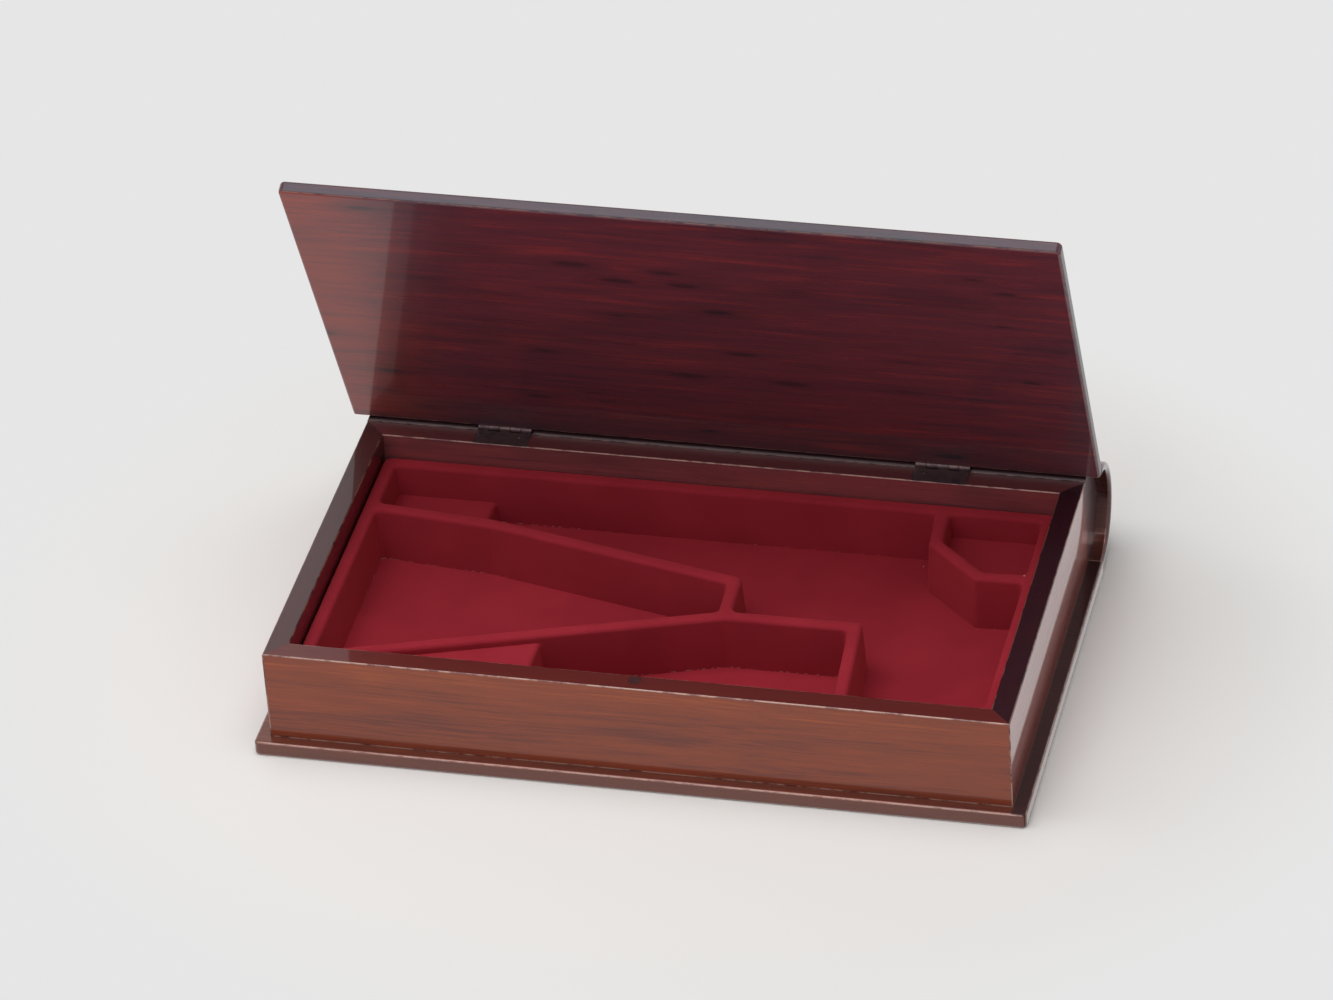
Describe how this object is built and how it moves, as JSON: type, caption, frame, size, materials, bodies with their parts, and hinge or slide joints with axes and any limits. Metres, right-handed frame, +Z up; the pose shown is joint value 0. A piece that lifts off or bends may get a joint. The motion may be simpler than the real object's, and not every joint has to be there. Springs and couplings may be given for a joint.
{
  "type": "book box",
  "caption": "Lacquered wooden box shaped like a book, with a hinged lid, a half-round spine and a flocked tray with shaped pockets inside.",
  "frame": {"origin": "on the surface that the box stands on, below the middle of the box", "axes": "+X along the box, from its left end to its right end; +Y from the front edge to the spine; +Z up"},
  "size_m": [0.416, 0.2576, 0.2718],
  "materials": {
    "lacquered_wood": "high gloss lacquer over dark red-brown grain",
    "lid_wood": "high gloss lacquer, dark burgundy grain",
    "flock": "crimson flock on a formed sheet",
    "brass": "dulled brass",
    "steel": "dark plated steel"
  },
  "bodies": {
    "case": {"base_board": "lacquered_wood", "front_wall": "lacquered_wood", "left_end_wall": "lacquered_wood", "right_end_wall": "lacquered_wood", "rear_wall": "lacquered_wood", "spine_block": "lacquered_wood", "spine_cover": "lacquered_wood", "flocked_tray": "flock", "catch_magnet": "steel", "left_hinge_wall_leaf": "brass", "left_hinge_pin": "brass", "left_hinge_wall_screw_1": "brass", "left_hinge_wall_screw_2": "brass", "right_hinge_wall_leaf": "brass", "right_hinge_pin": "brass", "right_hinge_wall_screw_1": "brass", "right_hinge_wall_screw_2": "brass"},
    "lid": {"lid_board": "lid_wood", "catch_keeper": "steel", "left_hinge_lid_leaf": "brass", "left_hinge_lid_screw_1": "brass", "left_hinge_lid_screw_2": "brass", "right_hinge_lid_leaf": "brass", "right_hinge_lid_screw_1": "brass", "right_hinge_lid_screw_2": "brass"}
  },
  "joints": [
    {"name": "lid_hinge", "type": "hinge", "parent": "case", "child": "lid", "pos_m": [0, 0.09595, 0.0635], "axis": [-1, 0, 0], "range_deg": [-66.5, 3]}
  ]
}
